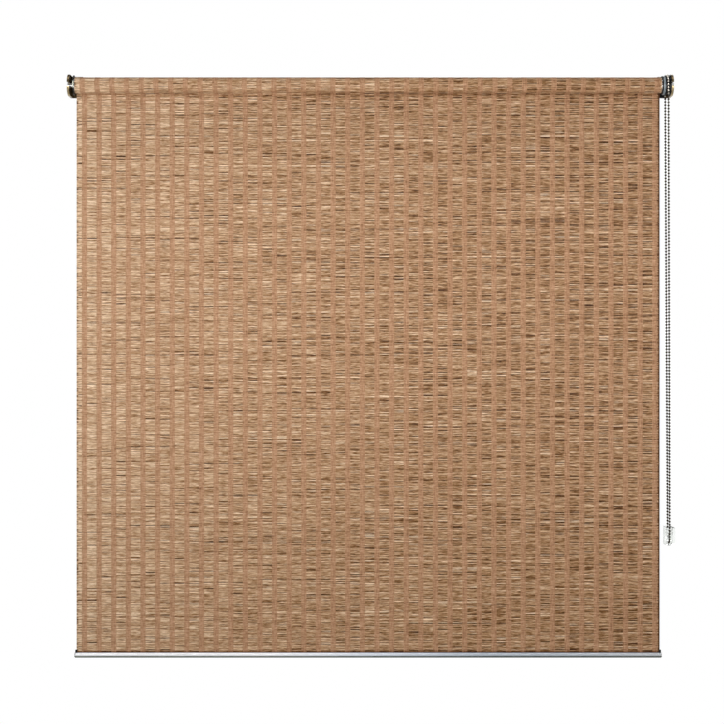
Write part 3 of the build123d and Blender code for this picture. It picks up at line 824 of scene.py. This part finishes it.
def on_roll(grid):
    """Puts weave points on the roll, from its back over its top and round, deeper at each turn."""
    angle = grid[:, 1] / MEAN_RADIUS
    radius = ROLL_RADIUS - THICKNESS / 2 - WINDING_PITCH * angle / (2 * pi) + grid[:, 2]
    return np.stack([FABRIC_LEFT + grid[:, 0], AXIS_Y + radius * np.cos(angle),
                     radius * np.sin(angle)], -1)


def yarn_pieces(prefix, start, end, pitch, place, zone_steps, seed, parts, slits=(),
                right_edge=RIGHT_EDGE):
    """Weaves one side of the fabric and cuts it into parts of whole yarns, each its own piece."""
    grid, tone, quads, kinds, count, across = weave(start, end, pitch, zone_steps, seed, slits,
                                                    right_edge)
    made = []
    cuts = np.linspace(0, count, parts + 1).astype(int)
    for number, (low, high) in enumerate(zip(cuts[:-1], cuts[1:])):
        rows = slice(low * YARN_ROWS * across, high * YARN_ROWS * across)
        faces = slice(low * (YARN_ROWS - 1) * (across - 1), high * (YARN_ROWS - 1) * (across - 1))
        uv = grid[rows, :2] * MM * (1, -1) + (seed * UV_STEP, 0)
        name = prefix if parts == 1 else f"{prefix}_{number + 1}"
        made.append(piece(name, place(grid[rows]), quads[faces] - rows.start, (WEFT, WARP),
                          kinds[faces], tone[rows], uv))
    return made


# The hanging sheet


def hang(thing):
    """Hanging cloth rides on the wall fittings, with a mesh of its own."""
    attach(thing, "wall_fittings")
    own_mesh(thing)


def ground_cloth():
    """The cloth layer between the two faces of yarn, dark as painted shade in the gaps, with the
    slits that go right through.
    """
    slits = slit_rows()
    points, quads = [], []

    def add(left, right, high, low):
        start = len(points)
        for x, along in ((left, high), (left, low), (right, low), (right, high)):
            points.append((x, along, 0.0))
        quads.append((start, start + 1, start + 2, start + 3))

    cursor = 0.0
    for zone in range(1, BAND_COUNT):
        left = band_edges(zone - 1)[1] + SLIT_INSET
        right = band_edges(zone)[0] - SLIT_INSET
        add(cursor, left, -SHEET_TOP, SHEET_LENGTH)
        high = -SHEET_TOP
        for middle in sorted(along for number, along in slits if number == zone):
            add(left, right, high, middle - SLIT_HEIGHT / 2)
            high = middle + SLIT_HEIGHT / 2
        add(left, right, high, SHEET_LENGTH)
        cursor = right
    add(cursor, FABRIC_WIDTH, -SHEET_TOP, SHEET_LENGTH)
    grid = np.array(points)
    uv = grid[:, :2] * MM * (1, -1)
    return piece("ground_cloth", on_sheet(grid, TO_VIEWER), quads, (GROUND_SHADE,), uv=uv)


front = yarn_pieces("yarns_front", -SHEET_TOP, SHEET_LENGTH, FRONT_PITCH,
                    lambda grid: on_sheet(grid, TO_VIEWER),
                    zone_steps=2, seed=11, parts=4, slits=slit_rows())
back = yarn_pieces("yarns_back", -SHEET_TOP, SHEET_LENGTH, BACK_PITCH,
                   lambda grid: on_sheet(grid, TO_WALL), zone_steps=1, seed=12, parts=2)
ground = ground_cloth()
for cloth in (*front, *back, ground):
    hang(cloth)
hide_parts("fabric_sheet")


# The turns left on the tube

SEEN_TURNS = 1.02  # one turn, and a lap under its start
STEPS_PER_TURN = 48
roll_length = pi * MEAN_RADIUS * HALF_TURNS
seen_length = 2 * pi * ROLL_RADIUS * SEEN_TURNS


def rolled_cloth():
    """The dark cloth layer of the roll, painted shade in the gaps between its yarns: one spiral
    from its back to the tube's groove.
    """
    steps = STEPS_PER_TURN * HALF_TURNS // 2
    along = np.linspace(0, roll_length, steps + 1)
    points = np.array([(x, s, 0.0) for s in along for x in (0.0, FABRIC_WIDTH)])
    quads = [(2 * n, 2 * n + 2, 2 * n + 3, 2 * n + 1) for n in range(steps)]
    uv = points[:, :2] * MM
    return piece("rolled_cloth", on_roll(points), quads, (GROUND_SHADE,), uv=uv)


roll_yarns = yarn_pieces("yarns_roll", 0.0, seen_length, FRONT_PITCH, on_roll,
                         zone_steps=2, seed=13, parts=1, right_edge=RIGHT_EDGE_OF_ROLL)
rolled = rolled_cloth()
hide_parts("fabric_roll")
for cloth in (*roll_yarns, rolled):
    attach(cloth, "roller")


# The bead chain

BEAD_PITCH = 6.0
BEAD_RADIUS = 2.25
BALL_ANGLES = (-76, -58, -36, -12, 12, 36, 58, 76)  # of its rings, in degrees
LINK_RADIUS = 0.55
LINK_ENDS = (0.3, 0.7)  # shares of the pitch
RING_POINTS = 10
STRAND_BEADS = 147
LOOP_BEADS = 6
WHEEL_POCKETS = 20
WHEEL_X = 579.8
LOOP_X = 583.3
CHAIN_RADIUS = WHEEL_POCKETS * BEAD_PITCH / (2 * pi)
LOOP_RADIUS = LOOP_BEADS * BEAD_PITCH / pi
LOOP_Z = -((STRAND_BEADS * BEAD_PITCH) ** 2 - (CHAIN_RADIUS - LOOP_RADIUS) ** 2
           - (LOOP_X - WHEEL_X) ** 2) ** 0.5


def chain_path():
    """The middles of the beads, round the whole chain."""
    def arc(x, z, radius, first, count):
        turns = [radians(first + n * 180 / count) for n in range(count + 1)]
        return [(x, AXIS_Y + radius * cos(a), z + radius * sin(a)) for a in turns]

    def strand(first, last):
        shares = np.arange(1, STRAND_BEADS)[:, None] / STRAND_BEADS
        return list(np.array(first) + shares * (np.array(last) - np.array(first)))

    over = arc(WHEEL_X, 0.0, CHAIN_RADIUS, 0, WHEEL_POCKETS // 2)
    under = arc(LOOP_X, LOOP_Z, LOOP_RADIUS, 180, LOOP_BEADS)
    return np.array(over + strand(over[-1], under[0]) + under + strand(under[-1], over[0]))


def chain():
    """Rolled steel balls on dog-bone links: each ball has an open neck at both ends."""
    path = chain_path()
    ring_angles = np.array(BALL_ANGLES) * pi / 180
    ball = [(BEAD_RADIUS * cos(a), BEAD_RADIUS * sin(a)) for a in ring_angles]
    link = [(LINK_RADIUS, BEAD_PITCH * share) for share in LINK_ENDS]
    points, quads = [], []
    following = np.roll(path, -1, axis=0)
    for middle, ahead in zip(path, following):
        direction = (ahead - middle) / np.linalg.norm(ahead - middle)
        side = np.cross(direction, (1.0, 0.0, 0.0))
        side /= np.linalg.norm(side)
        other = np.cross(side, direction)
        for profile in (ball, link):
            start = len(points)
            for radius, offset in profile:
                for n in range(RING_POINTS):
                    turn = 2 * pi * n / RING_POINTS
                    spoke = cos(turn) * side + sin(turn) * other
                    points.append(middle + direction * offset + spoke * radius)
            for ring in range(len(profile) - 1):
                for n in range(RING_POINTS):
                    low = start + ring * RING_POINTS + n
                    high = start + ring * RING_POINTS + (n + 1) % RING_POINTS
                    quads.append((low, high, high + RING_POINTS, low + RING_POINTS))
    return piece("steel_chain", points, quads, (CHAIN_METAL,))


steel_chain = chain()
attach(steel_chain, "wall_fittings")
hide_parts("bead_chain")


# The bar's end tabs

TAB_HEIGHT = 5.6
TAB_ROUNDING = 0.5
TAB_ROUNDING_STEPS = 2
TAB_INSET = 0.5  # behind the caps' front
TAB_CLEARANCE = 0.1  # to the sheet's front


def end_tab(name, x, width):
    """A small rounded black tab that stands on a bar cap, in front of the fabric's corner."""
    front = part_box("bar_caps")[0].y / MM + TAB_INSET
    depth = SHEET_FRONT - TAB_CLEARANCE - front
    middle = (x * MM, (front + depth / 2) * MM, (BAR_TOP + TAB_HEIGHT / 2) * MM)
    shape = bmesh.new()
    bmesh.ops.create_cube(shape, size=1.0)
    bmesh.ops.scale(shape, vec=(width * MM, depth * MM, TAB_HEIGHT * MM), verts=shape.verts)
    bmesh.ops.bevel(shape, geom=shape.edges[:], offset=TAB_ROUNDING * MM,
                    segments=TAB_ROUNDING_STEPS, affect="EDGES")
    bmesh.ops.translate(shape, vec=middle, verts=shape.verts)
    mesh = bpy.data.meshes.new(name)
    shape.to_mesh(mesh)
    shape.free()
    mesh.materials.append(BLACK)
    tab = bpy.data.objects.new(name, mesh)
    bpy.context.scene.collection.objects.link(tab)
    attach(tab, "bar")


end_tab("end_tab_left", x=FABRIC_LEFT - 0.3, width=3.8)
end_tab("end_tab_right", x=FABRIC_LEFT + FABRIC_WIDTH + 0.6, width=3.2)


# Floor

FLOOR_LEVEL = -1400
FLOOR_SIDE = 2200
FLOOR_FRONT = -900
FLOOR_BACK = 440


def floor():
    """A pale floor under the blind, short enough to stay out of the photograph's view."""
    m = Shader("floor_paint", roughness=0.9)
    clouds = m.noise(m.place((3, 3, 3)), 3.0)
    m.colour_from(m.two_tone(clouds, colour(226, 226, 224), colour(232, 232, 230)))
    corners = [(-FLOOR_SIDE, FLOOR_FRONT, FLOOR_LEVEL), (FLOOR_SIDE, FLOOR_FRONT, FLOOR_LEVEL),
               (FLOOR_SIDE, FLOOR_BACK, FLOOR_LEVEL), (-FLOOR_SIDE, FLOOR_BACK, FLOOR_LEVEL)]
    thing = piece("floor", corners, [(0, 1, 2, 3)], (m.material,))


floor()
